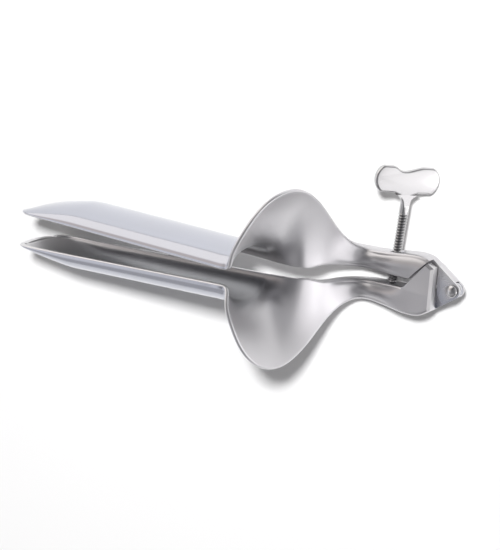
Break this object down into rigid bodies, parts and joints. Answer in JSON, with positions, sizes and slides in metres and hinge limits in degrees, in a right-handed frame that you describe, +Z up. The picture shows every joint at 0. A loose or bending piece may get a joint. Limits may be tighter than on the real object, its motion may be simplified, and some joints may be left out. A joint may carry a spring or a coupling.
{
  "type": "anal speculum",
  "caption": "Steel anal speculum: half-tube blades with flared mouth lobes on offset arms, a riveted hinge and a wing screw that sets the opening.",
  "frame": {"origin": "bottom centre of the bounding box of the instrument as it lies on a table", "axes": "+X along the table from the blade tips to the hinge, +Y towards the valve that carries the wing screw, +Z up"},
  "size_m": [0.1598, 0.072, 0.0512],
  "materials": {
    "satin_steel": "satin inside and on the arms, polished outside the blades",
    "polished_steel": "polished"
  },
  "bodies": {
    "upper": {"upper_valve": "satin_steel", "hinge_rivet": "polished_steel"},
    "lower": {"lower_valve": "satin_steel"},
    "screw": {"wing_screw": "polished_steel"}
  },
  "joints": [
    {"name": "valve_hinge", "type": "hinge", "parent": "upper", "child": "lower", "pos_m": [0.0762, -0.00328, 0.00988], "axis": [-0.2423, -0.0352, 0.9696], "range_deg": [-4.2, 28]},
    {"name": "screw_travel", "type": "slide", "parent": "upper", "child": "screw", "axis": [-0.0273, -0.9987, -0.0431], "range_m": [-0.00172, 0.0111]}
  ],
  "couplings": [
    {"joint": "screw_travel", "follows": "valve_hinge", "m_per_rad": 0.0225}
  ]
}
